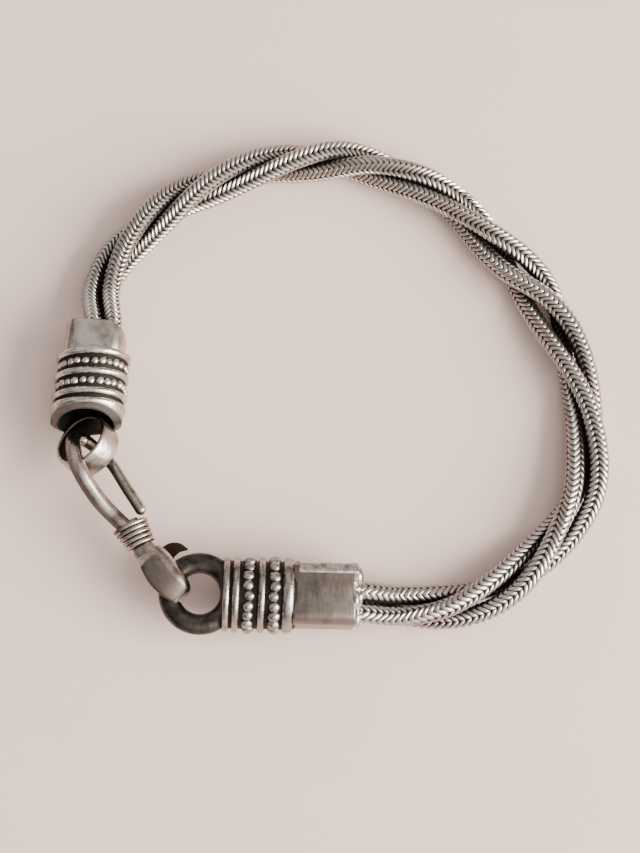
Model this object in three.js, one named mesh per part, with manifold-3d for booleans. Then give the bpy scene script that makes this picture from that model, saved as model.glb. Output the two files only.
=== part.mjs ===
// Twisted woven bracelet, fastened and lying on a table.
// Three woven strands are twisted together between two cast end caps. A hook is linked to the
// loop of one cap, and its flat bend holds the loop of the other. Millimetres, +Z up.

import * as THREE from 'three';
import { mergeVertices } from 'three/addons/utils/BufferGeometryUtils.js';
import Module from 'manifold-3d';

const wasm = await Module();
wasm.setup();

// Strands

const STRAND_WIDTH = 2.22;
const STRAND_CORNER = 0.55;
const STRAND_CLEARANCE = 0.12;
const STRAND_STEPS = 80;
const STRAND_SEAT_DEPTH = 2.6;

// End caps: a hollow barrel with ribs and rows of granules, and a squared collar on the strands

const BARREL_DIAMETER = 8.8;
const BARREL_SEGMENTS = 28;
const RIB_HEIGHT = 0.55;
const GRANULE_SIDES = 10;
const GRANULE_SINK = 0.12;
const MOUTH_WALL = 0.85;
const MOUTH_DEPTH = 3.6;
const COLLAR_WALL = 0.55;
const BORE_CLEARANCE = 0.2;
const SEAT_CLEARANCE = 0.3;
const STUB_RADIUS = 1.1;
const STUB_SIDES = 12;
const BORE_SIDES = 24;
const LOOP_SEGMENTS = 28;
const LOOP_EDGE = 0.28;
const RIB_CREST = 0.45;
const COLLAR_ROOT = 0.8;
const FLOOR_CLEARANCE = 0.02;

const HOOK_CAP = {
  mouth: [-30.6, 0.6],
  heading: 85,
  tilt: 6.5,
  barrelLength: 7.9,
  collarLength: 4.1,
  collarCorner: 1.45,
  boreShift: 0.5,
  granules: 26,
  granuleDiameter: 1.1,
  ribs: [
    { middle: 0.06, width: 0.11 },
    { middle: 0.235, width: 0.11 },
    { middle: 0.58, width: 0.11 },
    { middle: 0.94, width: 0.12 },
  ],
  granuleRows: [0.41, 0.755],
  loop: { outerDiameter: 8.1, wall: 1.15, depth: 2.9, reach: 3.7, drop: 0.8, lean: -35 },
};

const RING_CAP = {
  mouth: [-12.7, -23.2],
  heading: -1,
  tilt: 2.5,
  barrelLength: 9.6,
  collarLength: 7.6,
  collarCorner: 1.25,
  boreShift: 0.6,
  granules: 21,
  granuleDiameter: 1.45,
  ribs: [
    { middle: 0.06, width: 0.1 },
    { middle: 0.185, width: 0.1 },
    { middle: 0.53, width: 0.09 },
    { middle: 0.85, width: 0.08 },
    { middle: 0.95, width: 0.1 },
  ],
  granuleRows: [0.355, 0.7],
  loop: { outerDiameter: 10.4, wall: 2.4, depth: 2.2, reach: 2.9, drop: 0, lean: 0 },
};

// Hook: a wire eye through the loop of the hook cap and a flat band bent round the other loop

const EYE_WIRE = 1.85;
const EYE_WIRE_THIN = 1.35;
const HOOK_CLEARANCE = 0.27;
const BAND_WIDTH = 3.8;
const BEND_WIDTH = 2.7;
const BAND_THICKNESS = 0.95;
const BAND_HEADING = -43;
const BAND_LENGTH = 4.7;
const BAND_LINE_OFFSET = 0.75;
const BINDING_WIRE = 0.75;
const BINDING_TURNS = 4.5;
const BINDING_CLEARANCE = 0.21;
const SHANK_WIDTH = 2.95;
const SHANK_WIDTH_END = 2.1;
const SHANK_THICKNESS = 1.95;
const SHANK_FILL = 0.9;
const SHANK_DROP = 1.1;
const SHOULDER_ASIDE = 0.7;
const TONGUE_LENGTH = 4.0;

// Tongue under the loop: places as shares of its length, turn from the band's direction, and
// width and thickness as shares of the bend's.
const TONGUE = [
  { back: 0.45, aside: 0.0, turn: 0, width: 0.9, thickness: 1.0 },
  { back: 0.85, aside: 0.15, turn: 37, width: 0.85, thickness: 1.0 },
  { back: 0.97, aside: 0.55, turn: 90, width: 0.7, thickness: 1.0 },
  { back: 0.8, aside: 0.85, turn: 118, width: 0.35, thickness: 0.65 },
  { back: 0.58, aside: 1.0, turn: 130, width: 0.06, thickness: 0.36 },
];

// Eye: places as shares of the way between the loops, bow to the outside, and rise over the shank.
const EYE = [
  { share: 0.57, bow: 2.15, rise: 0 },
  { share: 0.5, bow: 2.4, rise: 0 },
  { share: 0.42, bow: 2.75, rise: 0.25 },
  { share: 0.3, bow: 3.1, rise: 1.1 },
  { share: 0.13, bow: 2.75, rise: 2.45 },
  { share: 0.02, bow: 1.8, rise: 1.75 },
  { share: -0.045, bow: 0.7, rise: -0.7 },
  { share: -0.02, bow: -0.2, rise: -2.1 },
  { share: 0.06, bow: -0.8, rise: -2.3 },
  { share: 0.17, bow: -1.1, rise: -1.7 },
  { share: 0.33, bow: -0.75, rise: -0.85 },
  { share: 0.44, bow: -0.55, rise: -0.3 },
  { share: 0.495, bow: -0.4, rise: -0.15 },
];
const EYE_STEPS = 40;
const BAND_STEPS = 44;
const BINDING_START = { share: 0.515, bow: 1.85 };
const BINDING_END = { share: 0.65, bow: 2.35 };
const BINDING_SIDES = 6;
const BINDING_STEPS_PER_TURN = 14;

// Middle line of the twisted bundle between the collars, seen from above.
const BUNDLE_ROUTE = [
  [-29.2, 17.8],
  [-27.35, 22.45],
  [-23.7, 26.8],
  [-18.1, 31.0],
  [-11.2, 34.1],
  [-3.1, 36.0],
  [5.2, 35.8],
  [13.0, 33.1],
  [19.8, 28.3],
  [25.3, 22.2],
  [30.4, 15.75],
  [33.65, 7.95],
  [35.4, 0.0],
  [34.7, -8.75],
  [30.55, -15.85],
  [24.6, -21.4],
  [17.4, -24.4],
  [10.4, -24.8],
];

// Twist of the bundle: share of its length, turn of the first strand from the top towards the
// outside, and sideways spread of the strands as a share of their touching distance.
const TWIST = [
  { share: 0.0, turn: -75, spread: 1.0 },
  { share: 0.035, turn: -62, spread: 1.0 },
  { share: 0.108, turn: 0, spread: 1.08 },
  { share: 0.195, turn: 120, spread: 1.0 },
  { share: 0.283, turn: 240, spread: 1.0 },
  { share: 0.355, turn: 360, spread: 1.0 },
  { share: 0.46, turn: 480, spread: 1.02 },
  { share: 0.545, turn: 600, spread: 1.5 },
  { share: 0.645, turn: 720, spread: 1.1 },
  { share: 0.72, turn: 785, spread: 1.25 },
  { share: 0.785, turn: 840, spread: 1.17 },
  { share: 0.892, turn: 960, spread: 1.27 },
  { share: 0.965, turn: 1020, spread: 1.1 },
  { share: 1.0, turn: 1040, spread: 1.05 },
];
const STRAND_PHASES = [0, -240, -120];

// Turn of each strand's own section where it crosses the top of the bundle.
const SECTION_TURN_START = [0, -59, -40];
const SECTION_TURN_RATE = 0.4;

const rad = THREE.MathUtils.degToRad;
const UP = new THREE.Vector3(0, 0, 1);

// A curve that carries its own section frames, so that a section can turn and taper on its way.
class SweepPath extends THREE.Curve {
  constructor(pointAt, frameAt) {
    super();
    this.pointAt = pointAt;
    this.frameAt = frameAt;
    this.arcLengthDivisions = 600;
  }

  getPoint(t, target = new THREE.Vector3()) {
    return target.copy(this.pointAt(t));
  }

  computeFrenetFrames(segments) {
    const frames = { tangents: [], normals: [], binormals: [] };
    for (let i = 0; i <= segments; i++) {
      const t = this.getUtoTmapping(i / segments);
      const tangent = this.getTangent(t);
      const { side, width, height } = this.frameAt(t, tangent);
      const normal = side.clone().addScaledVector(tangent, -side.dot(tangent)).normalize();
      const binormal = tangent.clone().cross(normal);
      frames.tangents.push(tangent);
      frames.normals.push(normal.multiplyScalar(width));
      frames.binormals.push(binormal.multiplyScalar(height));
    }
    return frames;
  }
}

function chamferedSquare(width, height, cornerX, cornerY) {
  const shape = new THREE.Shape();
  const x = width / 2;
  const y = height / 2;
  shape.moveTo(x, -y + cornerY);
  shape.lineTo(x, y - cornerY);
  shape.lineTo(x - cornerX, y);
  shape.lineTo(-x + cornerX, y);
  shape.lineTo(-x, y - cornerY);
  shape.lineTo(-x, -y + cornerY);
  shape.lineTo(-x + cornerX, -y);
  shape.lineTo(x - cornerX, -y);
  shape.closePath();
  return shape;
}

function sweep(path, shape, steps) {
  return new THREE.ExtrudeGeometry(shape, { steps, bevelEnabled: false, extrudePath: path });
}

// Value of a table column at a share of the length, smooth through the rows.
function tableValue(rows, column, share) {
  const last = rows.length - 1;
  let i = 0;
  while (i < last - 1 && share > rows[i + 1].share) i++;
  const slopeAt = (k) => {
    const a = rows[Math.max(k - 1, 0)];
    const b = rows[Math.min(k + 1, last)];
    return (b[column] - a[column]) / (b.share - a.share);
  };
  const span = rows[i + 1].share - rows[i].share;
  const u = THREE.MathUtils.clamp((share - rows[i].share) / span, 0, 1);
  const rise = rows[i + 1][column] - rows[i][column];
  const startSlope = slopeAt(i) * span;
  const endSlope = slopeAt(i + 1) * span;
  const a = startSlope + endSlope - 2 * rise;
  const b = 3 * rise - 2 * startSlope - endSlope;
  return rows[i][column] + startSlope * u + b * u * u + a * u * u * u;
}

function toManifold(geometry) {
  const bare = geometry.index ? geometry.toNonIndexed() : geometry.clone();
  bare.deleteAttribute('normal');
  bare.deleteAttribute('uv');
  const merged = mergeVertices(bare, 1e-4);
  const mesh = new wasm.Mesh({
    numProp: 3,
    vertProperties: new Float32Array(merged.attributes.position.array),
    triVerts: new Uint32Array(merged.index.array),
  });
  mesh.merge();
  return new wasm.Manifold(mesh);
}

function fromManifold(solid) {
  const mesh = solid.getMesh();
  const geometry = new THREE.BufferGeometry();
  geometry.setAttribute('position', new THREE.BufferAttribute(mesh.vertProperties, 3));
  geometry.setIndex(new THREE.BufferAttribute(mesh.triVerts, 1));
  geometry.computeVertexNormals();
  return geometry;
}

// Sizes that follow from the strands

const strandRadius = Math.hypot(STRAND_WIDTH / 2, STRAND_WIDTH / 2 - STRAND_CORNER);
const twistRadius = (2 * strandRadius + STRAND_CLEARANCE) / Math.sqrt(3);
const bundleHeight = twistRadius + strandRadius + 3 * FLOOR_CLEARANCE;
const hookEndSpread = TWIST[1].spread;
const ringEndSpread = TWIST[TWIST.length - 2].spread;

// End caps, along +X from the mouth

function barrelSolid(cap) {
  const radius = BARREL_DIAMETER / 2;
  const length = cap.barrelLength;
  const outline = [
    [0, MOUTH_DEPTH],
    [radius - MOUTH_WALL, MOUTH_DEPTH],
    [radius - MOUTH_WALL, 0],
  ];
  for (const rib of cap.ribs) {
    const half = (rib.width * length) / 2;
    const middle = rib.middle * length;
    outline.push([radius, Math.max(middle - half, 0)]);
    outline.push([radius + RIB_HEIGHT, middle - half * RIB_CREST]);
    outline.push([radius + RIB_HEIGHT, middle + half * RIB_CREST]);
    outline.push([radius, Math.min(middle + half, length)]);
  }
  outline.push([radius - MOUTH_WALL, length]);
  outline.push([0, length]);
  const points = outline.map(([r, along]) => new THREE.Vector2(r, along));
  const geometry = new THREE.LatheGeometry(points, BARREL_SEGMENTS);
  geometry.rotateZ(-Math.PI / 2);
  return toManifold(geometry);
}

// Domed granules, sunk a little into the barrel.
function granuleSolids(cap) {
  const radius = cap.granuleDiameter / 2;
  const outline = [
    [0, -0.6],
    [0.8, -0.6],
    [1, 0],
    [0.75, 0.66],
    [0, 1],
  ];
  const points = outline.map(([r, up]) => new THREE.Vector2(r * radius, up * radius));
  const solids = [];
  for (const row of cap.granuleRows) {
    for (let i = 0; i < cap.granules; i++) {
      const granule = new THREE.LatheGeometry(points, GRANULE_SIDES);
      granule.translate(0, BARREL_DIAMETER / 2 - GRANULE_SINK, 0);
      granule.rotateX(((i + 0.5) / cap.granules) * 2 * Math.PI);
      granule.translate(row * cap.barrelLength, 0, 0);
      solids.push(toManifold(granule));
    }
  }
  return solids;
}

function collarBlock(cap, width) {
  const shape = chamferedSquare(width, width, cap.collarCorner, cap.collarCorner);
  const depth = cap.collarLength + COLLAR_ROOT;
  const block = new THREE.ExtrudeGeometry(shape, { depth, bevelEnabled: false });
  block.rotateY(Math.PI / 2);
  block.translate(cap.barrelLength - COLLAR_ROOT, 0, 0);
  return toManifold(block);
}

function collarBore(cap, radius) {
  const depth = STRAND_SEAT_DEPTH + SEAT_CLEARANCE;
  const bore = new THREE.CylinderGeometry(radius, radius, 2 * depth, BORE_SIDES);
  bore.rotateZ(Math.PI / 2);
  bore.translate(cap.barrelLength + cap.collarLength, -cap.boreShift, 0);
  return toManifold(bore);
}

// Soldered loop: a closed band with broken edges that leans about the cap's own axis, and the
// stub that carries it in the mouth.
function loopSolid(cap) {
  const { outerDiameter, wall, depth, reach, drop, lean } = cap.loop;
  const outer = outerDiameter / 2;
  const inner = outer - wall;
  const edge = Math.min(wall, depth) * LOOP_EDGE;
  const half = depth / 2;
  const outline = [
    [inner, -half + edge],
    [inner + edge, -half],
    [outer - edge, -half],
    [outer, -half + edge],
    [outer, half - edge],
    [outer - edge, half],
    [inner + edge, half],
    [inner, half - edge],
    [inner, -half + edge],
  ];
  const points = outline.map(([r, along]) => new THREE.Vector2(r, along));
  const band = new THREE.LatheGeometry(points, LOOP_SEGMENTS);
  band.rotateX(Math.PI / 2);
  band.rotateX(rad(lean));
  band.translate(-reach, 0, -drop);
  const from = -reach + outer - wall / 2;
  const to = MOUTH_DEPTH + wall / 4;
  const stub = new THREE.CylinderGeometry(STUB_RADIUS, STUB_RADIUS, to - from, STUB_SIDES);
  stub.rotateZ(Math.PI / 2);
  stub.translate((from + to) / 2, 0, -drop);
  return toManifold(band).add(toManifold(stub));
}

// A cap in its own frame has +X from the mouth to the collar, +Y to the left and +Z up. It is
// turned to its heading and tilt, and stands on its lowest point.
function buildCap(cap, spread) {
  const boreRadius = twistRadius * spread + strandRadius + BORE_CLEARANCE;
  const collarWidth = 2 * (boreRadius + cap.boreShift + COLLAR_WALL);
  let solid = barrelSolid(cap).add(collarBlock(cap, collarWidth));
  solid = solid.subtract(collarBore(cap, boreRadius)).add(loopSolid(cap));
  for (const granule of granuleSolids(cap)) solid = solid.add(granule);
  const geometry = fromManifold(solid);
  const turned = new THREE.Matrix4()
    .makeRotationZ(rad(cap.heading))
    .multiply(new THREE.Matrix4().makeRotationY(rad(cap.tilt)));
  const lying = new THREE.Mesh(geometry.clone().applyMatrix4(turned));
  const lowest = new THREE.Box3().setFromObject(lying).min.z;
  const place = new THREE.Matrix4()
    .makeTranslation(cap.mouth[0], cap.mouth[1], FLOOR_CLEARANCE - lowest)
    .multiply(turned);
  const at = (x, y, z) => new THREE.Vector3(x, y, z).applyMatrix4(place);
  return { geometry, place, at, length: cap.barrelLength + cap.collarLength };
}

const hookCap = buildCap(HOOK_CAP, hookEndSpread);
const ringCap = buildCap(RING_CAP, ringEndSpread);

// Strands

const routePoints = [];
const boreSide = { hook: -HOOK_CAP.boreShift, ring: -RING_CAP.boreShift };
routePoints.push(hookCap.at(hookCap.length - STRAND_SEAT_DEPTH, boreSide.hook, 0));
routePoints.push(hookCap.at(hookCap.length + COLLAR_WALL, boreSide.hook, 0));
for (const [x, y] of BUNDLE_ROUTE) routePoints.push(new THREE.Vector3(x, y, bundleHeight));
routePoints.push(ringCap.at(ringCap.length + COLLAR_WALL, boreSide.ring, 0));
routePoints.push(ringCap.at(ringCap.length - STRAND_SEAT_DEPTH, boreSide.ring, 0));
const bundleCurve = new THREE.CatmullRomCurve3(routePoints, false, 'centripetal');
bundleCurve.arcLengthDivisions = 800;

function strandPath(index) {
  const turnAt = (share) => tableValue(TWIST, 'turn', share);
  const outsideAt = (share) => bundleCurve.getTangentAt(share).cross(UP).negate().normalize();
  const pointAt = (share) => {
    const angle = rad(turnAt(share) + STRAND_PHASES[index]);
    const across = twistRadius * tableValue(TWIST, 'spread', share) * Math.sin(angle);
    const point = bundleCurve.getPointAt(share);
    point.addScaledVector(outsideAt(share), across);
    point.z += twistRadius * Math.cos(angle);
    return point;
  };
  const frameAt = (share, tangent) => {
    const own = rad(SECTION_TURN_START[index] + SECTION_TURN_RATE * turnAt(share));
    const side = outsideAt(share).applyAxisAngle(tangent, -own);
    return { side, width: 1, height: 1 };
  };
  return new SweepPath(pointAt, frameAt);
}

function strandGeometry(index) {
  const section = chamferedSquare(STRAND_WIDTH, STRAND_WIDTH, STRAND_CORNER, STRAND_CORNER);
  return sweep(strandPath(index), section, STRAND_STEPS);
}

// Hook

const hookLoop = hookCap.at(-HOOK_CAP.loop.reach, 0, -HOOK_CAP.loop.drop);
const ringLoop = ringCap.at(-RING_CAP.loop.reach, 0, -RING_CAP.loop.drop);
const span = new THREE.Vector3(ringLoop.x - hookLoop.x, ringLoop.y - hookLoop.y, 0);
const spanSide = new THREE.Vector3(span.y, -span.x, 0).normalize();
const along = new THREE.Vector3(Math.cos(rad(BAND_HEADING)), Math.sin(rad(BAND_HEADING)), 0);
const across = new THREE.Vector3(along.y, -along.x, 0);
const bandRise = RING_CAP.loop.depth / 2 + HOOK_CLEARANCE + BAND_THICKNESS / 2;
const shankZ = ringLoop.z + bandRise - SHANK_DROP;

// A point by its share of the way between the two loops, its bow to the outside and its height.
function spanPoint(share, bow, z) {
  const point = new THREE.Vector3(hookLoop.x, hookLoop.y, z);
  return point.addScaledVector(span, share).addScaledVector(spanSide, bow);
}

// A sweep of a unit section through rows of points, with a width direction and half sizes.
function rowSweep(rows, shape, steps) {
  const curve = new THREE.CatmullRomCurve3(rows.map((row) => row.point), false, 'centripetal');
  const table = rows.map((row, i) => ({ ...row, share: i / (rows.length - 1) }));
  const frameAt = (t) => {
    const heading = rad(tableValue(table, 'heading', t));
    return {
      side: new THREE.Vector3(Math.cos(heading), Math.sin(heading), 0),
      width: tableValue(table, 'width', t),
      height: tableValue(table, 'height', t),
    };
  };
  return sweep(new SweepPath((t) => curve.getPoint(t), frameAt), shape, steps);
}

// The flat hook: shank inside the binding, band, bend through the loop and pointed tongue.
function bandRows() {
  const holeRadius = RING_CAP.loop.outerDiameter / 2 - RING_CAP.loop.wall;
  const corner = BAND_LINE_OFFSET + BEND_WIDTH / 2;
  const chord = Math.sqrt(Math.max(holeRadius ** 2 - corner ** 2, 0));
  const front = chord - HOOK_CLEARANCE - BAND_THICKNESS / 2;
  const centre = ringLoop.clone().addScaledVector(across, BAND_LINE_OFFSET);
  centre.addScaledVector(along, -front - bandRise);
  const bandHeading = BAND_HEADING - 90;
  const place = (forward, aside, rise) => {
    const point = centre.clone().addScaledVector(along, forward);
    return point.addScaledVector(across, aside).addScaledVector(UP, rise);
  };
  const row = (point, heading, width, height) => ({
    point,
    heading,
    width: width / 2,
    height: height / 2,
  });
  const coreHeight = SHANK_FILL * SHANK_THICKNESS;
  const rows = [
    row(bindingStart, bindingHeading, SHANK_FILL * SHANK_WIDTH, coreHeight),
    row(bindingEnd, bindingHeading, SHANK_FILL * SHANK_WIDTH_END, coreHeight),
  ];
  for (const share of [1, 0.5]) {
    const point = place(-share * BAND_LENGTH, share * SHOULDER_ASIDE, bandRise);
    rows.push(row(point, bandHeading, BAND_WIDTH, BAND_THICKNESS));
  }
  for (const angle of [0, 45, 90, 135, 180]) {
    const forward = bandRise * Math.sin(rad(angle));
    const rise = bandRise * Math.cos(rad(angle));
    rows.push(row(place(forward, 0, rise), bandHeading, BEND_WIDTH, BAND_THICKNESS));
  }
  for (const { back, aside, turn, width, thickness } of TONGUE) {
    const point = place(-back * TONGUE_LENGTH, -aside * TONGUE_LENGTH, -bandRise);
    rows.push(row(point, bandHeading - turn, width * BEND_WIDTH, thickness * BAND_THICKNESS));
  }
  return rows;
}

const bindingStart = spanPoint(BINDING_START.share, BINDING_START.bow, shankZ);
const bindingEnd = spanPoint(BINDING_END.share, BINDING_END.bow, shankZ);
const bindingAlong = bindingEnd.clone().sub(bindingStart).normalize();
const bindingHeading = THREE.MathUtils.radToDeg(Math.atan2(bindingAlong.y, bindingAlong.x)) - 90;

// The eye: a wire from the shank through the loop of the hook cap and back to the binding, thinner
// towards its free end.
function eyeGeometry() {
  const points = EYE.map(({ share, bow, rise }) => spanPoint(share, bow, shankZ + rise));
  const curve = new THREE.CatmullRomCurve3(points, false, 'centripetal');
  const frameAt = (t, tangent) => {
    const thinning = THREE.MathUtils.smoothstep(t, 0.35, 0.75);
    const radius = THREE.MathUtils.lerp(EYE_WIRE, EYE_WIRE_THIN, thinning) / 2;
    return { side: Math.abs(tangent.z) < 0.9 ? UP : span, width: radius, height: radius };
  };
  const path = new SweepPath((t) => curve.getPoint(t), frameAt);
  const corner = 2 - Math.SQRT2;
  return sweep(path, chamferedSquare(2, 2, corner, corner), EYE_STEPS);
}

function hookGeometry() {
  const band = rowSweep(bandRows(), chamferedSquare(2, 2, 0.3, 0.5), BAND_STEPS);
  return fromManifold(toManifold(band).add(toManifold(eyeGeometry())));
}

// The binding: a wire wound round the shank.
function bindingGeometry() {
  const heading = rad(bindingHeading);
  const side = new THREE.Vector3(Math.cos(heading), Math.sin(heading), 0);
  const standOff = BINDING_CLEARANCE + BINDING_WIRE / 2;
  const pointAt = (t) => {
    const angle = 2 * Math.PI * BINDING_TURNS * t;
    const width = THREE.MathUtils.lerp(SHANK_WIDTH, SHANK_WIDTH_END, t) / 2 + standOff;
    const height = SHANK_THICKNESS / 2 + standOff;
    const point = bindingStart.clone().lerp(bindingEnd, t);
    point.addScaledVector(side, width * Math.cos(angle));
    return point.addScaledVector(UP, height * Math.sin(angle));
  };
  const radius = BINDING_WIRE / 2;
  const frameAt = () => ({ side: bindingAlong, width: radius, height: radius });
  const section = new THREE.Shape();
  for (let i = 0; i < BINDING_SIDES; i++) {
    const angle = (2 * Math.PI * i) / BINDING_SIDES;
    if (i === 0) section.moveTo(Math.cos(angle), Math.sin(angle));
    else section.lineTo(Math.cos(angle), Math.sin(angle));
  }
  section.closePath();
  const steps = Math.round(BINDING_TURNS * BINDING_STEPS_PER_TURN);
  return sweep(new SweepPath(pointAt, frameAt), section, steps);
}

const group = new THREE.Group();
group.name = 'bracelet';

function addPiece(name, geometry, color, roughness) {
  const material = new THREE.MeshStandardMaterial({ color, roughness, metalness: 1 });
  const piece = new THREE.Mesh(geometry, material);
  piece.name = name;
  group.add(piece);
  return piece;
}

for (let i = 0; i < STRAND_PHASES.length; i++) {
  addPiece(`strand_${i + 1}`, strandGeometry(i), 0xa39c94, 0.38);
}
addPiece('hook_end_cap', hookCap.geometry, 0xa8a29b, 0.34).applyMatrix4(hookCap.place);
addPiece('ring_end_cap', ringCap.geometry, 0x9d9791, 0.4).applyMatrix4(ringCap.place);
addPiece('hook', hookGeometry(), 0xa8a29b, 0.34);
addPiece('hook_binding', bindingGeometry(), 0xa8a29b, 0.36);

const box = new THREE.Box3().setFromObject(group, true);
group.position.set(-(box.min.x + box.max.x) / 2, -(box.min.y + box.max.y) / 2, -box.min.z);

export default group;
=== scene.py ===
"""Looks of the twisted woven bracelet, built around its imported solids."""

import bisect
import math
import random

import bmesh
import bpy
from bpy.props import FloatProperty, FloatVectorProperty, IntProperty, PointerProperty
from mathutils import Matrix, Vector


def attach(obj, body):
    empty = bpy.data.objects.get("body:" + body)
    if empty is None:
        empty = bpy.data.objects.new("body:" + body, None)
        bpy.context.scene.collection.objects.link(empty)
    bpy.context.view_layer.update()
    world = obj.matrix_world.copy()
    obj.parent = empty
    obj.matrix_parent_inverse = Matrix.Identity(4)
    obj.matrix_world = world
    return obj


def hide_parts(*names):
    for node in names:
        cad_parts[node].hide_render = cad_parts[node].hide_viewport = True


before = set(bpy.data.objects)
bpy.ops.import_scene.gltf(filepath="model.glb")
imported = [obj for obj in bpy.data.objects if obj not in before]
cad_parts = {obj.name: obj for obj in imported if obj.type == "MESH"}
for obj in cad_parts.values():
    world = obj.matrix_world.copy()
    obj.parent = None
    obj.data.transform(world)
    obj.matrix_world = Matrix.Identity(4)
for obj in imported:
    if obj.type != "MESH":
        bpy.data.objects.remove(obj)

bl_info = {
    "name": "Twisted Woven Bracelet",
    "version": (1, 0, 0),
    "blender": (4, 5, 0),
    "location": "View3D > Sidebar > Bracelet",
    "description": "Builds the bracelet's strands, end caps, hook and studio",
    "category": "Object",
}

MM = 0.001

# Moves the drawing's origin to the middle of the part's box, in millimetres.
SHIFT = Vector((-1.27029, -5.17017, -0.02))

# Middle line of the bundle, from its seat in the hook cap to that in the ring cap.
BUNDLE_ROUTE = [
    (-29.288, 9.860, 4.739), (-29.015, 12.978, 4.382), (-29.2, 17.8, 2.808),
    (-27.35, 22.45, 2.808), (-23.7, 26.8, 2.808), (-18.1, 31.0, 2.808),
    (-11.2, 34.1, 2.808), (-3.1, 36.0, 2.808), (5.2, 35.8, 2.808), (13.0, 33.1, 2.808),
    (19.8, 28.3, 2.808), (25.3, 22.2, 2.808), (30.4, 15.75, 2.808),
    (33.65, 7.95, 2.808), (35.4, 0.0, 2.808), (34.7, -8.75, 2.808),
    (30.55, -15.85, 2.808), (24.6, -21.4, 2.808), (17.4, -24.4, 2.808),
    (10.4, -24.8, 2.808), (5.020, -24.109, 4.598), (1.873, -24.054, 4.736),
]

# Share of the bundle's length, turn of the first strand from the top, sideways spread.
TWIST = [
    (0.0, -75, 1.0), (0.035, -62, 1.0), (0.108, 0, 1.08), (0.195, 120, 1.0),
    (0.283, 240, 1.0), (0.355, 360, 1.0), (0.46, 480, 1.02), (0.545, 600, 1.5),
    (0.645, 720, 1.1), (0.72, 785, 1.25), (0.785, 840, 1.17), (0.892, 960, 1.27),
    (0.965, 1020, 1.1), (1.0, 1040, 1.05),
]
STRAND_PHASES = [0, -240, -120]

# Turn of each strand's own section at shares of the bundle's length.
SECTION_TURNS = [
    [
        (0.0, 0), (0.03, 4), (0.06, 8), (0.08, 19), (0.12, 44), (0.15, 55), (0.3, 107),
        (0.35, 114), (0.385, 146), (0.42, 190), (0.45, 196), (0.6, 260), (0.65, 268),
        (0.7, 285), (0.75, 310), (0.78, 335), (1.0, 380),
    ],
    [
        (0.0, 0), (0.22, 41), (0.3, 54), (0.35, 71), (0.57, 127), (0.625, 153),
        (0.85, 211), (0.9, 231), (0.94, 273), (1.0, 290),
    ],
    [
        (0.0, 0), (0.11, 22), (0.15, 31), (0.2, 48), (0.26, 65), (0.4, 122),
        (0.45, 135), (0.49, 168), (0.52, 179), (0.7, 224), (0.75, 232), (0.78, 268),
        (0.81, 291), (0.85, 318), (1.0, 350),
    ],
]
TWIST_RADIUS = 1.50488

# End caps, in millimetres and degrees. Ribs have a middle and a width, and ribs and
# rows of granules stand at shares of the length.
HOOK_CAP = {
    "node": "hook_end_cap", "name": "hook_cap", "seed": 3, "mouth": (-30.6, 0.6, 5.803),
    "heading": 85, "tilt": 6.5, "length": 7.9, "collar": 4.1, "collar_width": 7.6,
    "collar_corner": 1.45, "bore_radius": 2.9, "rim": 0.3, "slant": 1.5, "lean": 0.09,
    "granules": 26, "granule": 1.2,
    "ribs": [(0.06, 0.13), (0.235, 0.12), (0.58, 0.12), (0.935, 0.13)],
    "rows": [0.41, 0.755],
}
RING_CAP = {
    "node": "ring_end_cap", "name": "ring_cap", "seed": 8,
    "mouth": (-12.7, -23.2, 5.3725), "heading": -1, "tilt": 2.5, "length": 9.6,
    "collar": 7.6, "collar_width": 7.95, "collar_corner": 1.25, "bore_radius": 3.1,
    "rim": 0.1, "slant": 0.0, "lean": -0.02, "granules": 20, "granule": 1.8,
    "ribs": [(0.055, 0.095), (0.185, 0.1), (0.53, 0.1), (0.885, 0.15)],
    "rows": [0.355, 0.705],
}
FLOOR_GAP = 0.01 * MM
MOUTH_DEPTH = 3.6
MOUTH_WALL = 0.85
RIB_HEIGHT = 0.55
RIB_STEPS = 8


class BraceletStrands(bpy.types.PropertyGroup):
    wire: FloatProperty(
        name="Wire thickness", description="Thickness of the woven wire",
        default=0.55 * MM, min=0.3 * MM, max=0.7 * MM, unit="LENGTH",
    )
    pitch: FloatProperty(
        name="Row pitch", description="Distance from one woven row to the next",
        default=0.8 * MM, min=0.5 * MM, max=1.2 * MM, unit="LENGTH",
    )
    furrow: FloatProperty(
        name="Furrow radius",
        description="Distance from the strand's middle to the furrows of its weave",
        default=1.23 * MM, unit="LENGTH",
    )
    ridge: FloatProperty(
        name="Ridge radius",
        description="Distance from the strand's middle to the ridges of its weave",
        default=1.35 * MM, unit="LENGTH",
    )


class BraceletCaps(bpy.types.PropertyGroup):
    barrel: FloatProperty(
        name="Barrel diameter",
        description="Diameter of the end caps between their ribs", default=8.8 * MM,
        unit="LENGTH",
    )
    sides: IntProperty(
        name="Barrel sides", description="Steps around the turned barrels and loops",
        default=72, min=24, max=128,
    )


class BraceletHook(bpy.types.PropertyGroup):
    wire: FloatProperty(
        name="Eye wire", description="Thickness of the hook's eye at its strong side",
        default=2.12 * MM, unit="LENGTH",
    )
    binding: FloatProperty(
        name="Binding wire", description="Thickness of the wire wound round the shank",
        default=0.6 * MM, unit="LENGTH",
    )
    turns: FloatProperty(
        name="Binding turns", description="Number of turns of the binding wire",
        default=4.5, min=2.0, max=7.0,
    )


class BraceletFinish(bpy.types.PropertyGroup):
    silver: FloatVectorProperty(
        name="Worn silver", description="Colour of the worn silver", subtype="COLOR",
        default=(0.5, 0.448, 0.407), min=0.0, max=1.0,
    )
    # On the strands this oxide is also the colour of their painted shade between and
    # under the bundle.
    oxide: FloatVectorProperty(
        name="Oxide", description="Colour of the oxide in the hollows", subtype="COLOR",
        default=(0.032, 0.026, 0.022), min=0.0, max=1.0,
    )
    floor: FloatVectorProperty(
        name="Floor", description="Colour of the pale floor", subtype="COLOR",
        default=(0.69, 0.52, 0.455), min=0.0, max=1.0,
    )


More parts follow.
